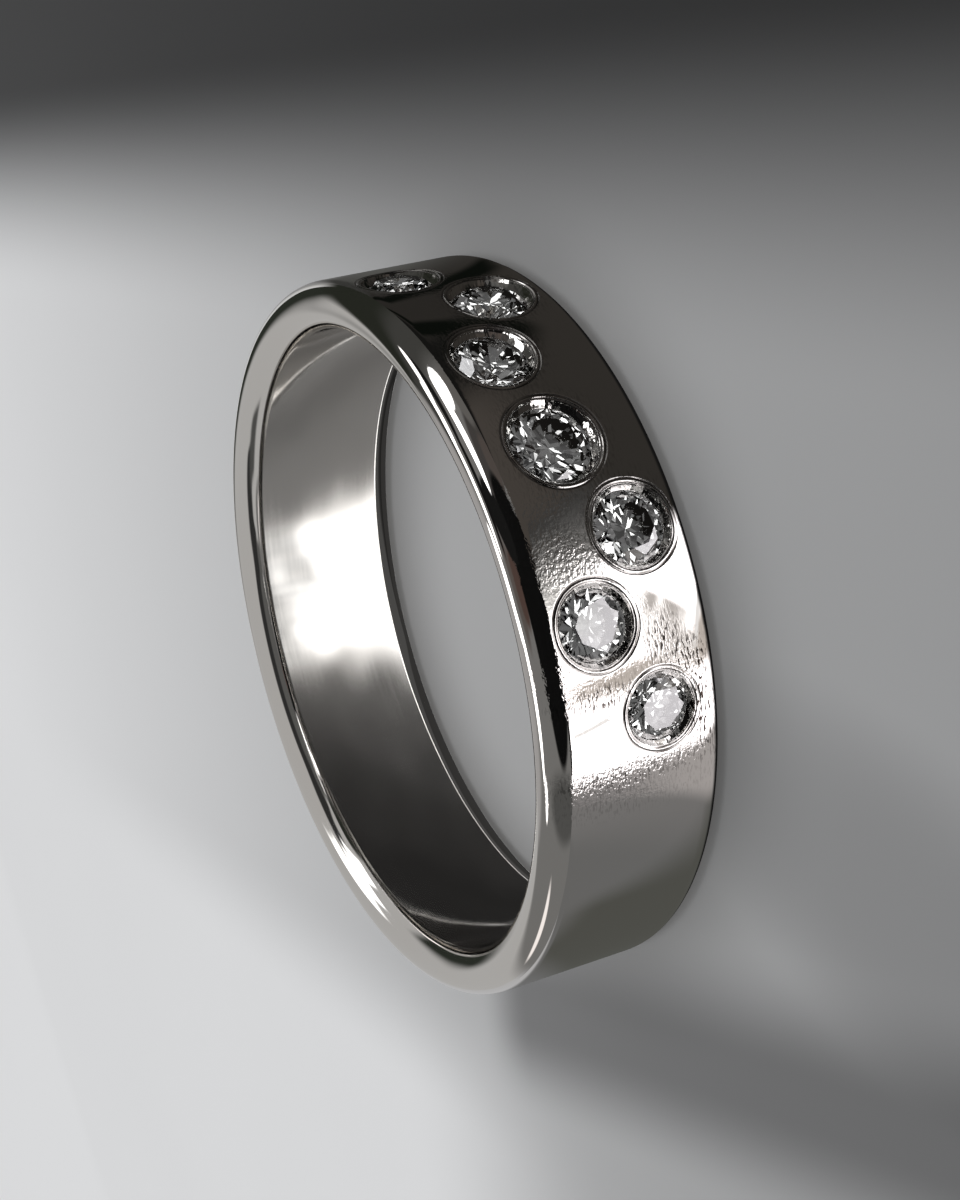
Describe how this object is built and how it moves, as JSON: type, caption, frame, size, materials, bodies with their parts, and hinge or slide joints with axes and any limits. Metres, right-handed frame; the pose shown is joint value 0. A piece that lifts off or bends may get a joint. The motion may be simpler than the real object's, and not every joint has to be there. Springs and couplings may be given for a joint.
{
  "type": "band ring",
  "caption": "Polished white metal band ring with fully rounded edges and round brilliant stones set flush in a loose zigzag across the front.",
  "frame": {"origin": "centre of the ring's foot print, on the surface that it lies on", "axes": "+Z along the finger hole, up from the surface; -Y towards the largest stone, which is the front"},
  "size_m": [0.0198, 0.0198, 0.005],
  "materials": {
    "white_metal": "mirror polished, fine grain and hairlines around the settings",
    "clear_stone": "polished facets, clear and colourless"
  },
  "bodies": {
    "root": {"band": "white_metal", "stone_1": "clear_stone", "stone_2": "clear_stone", "stone_3": "clear_stone", "stone_4": "clear_stone", "stone_5": "clear_stone", "stone_6": "clear_stone", "stone_7": "clear_stone"}
  },
  "joints": []
}
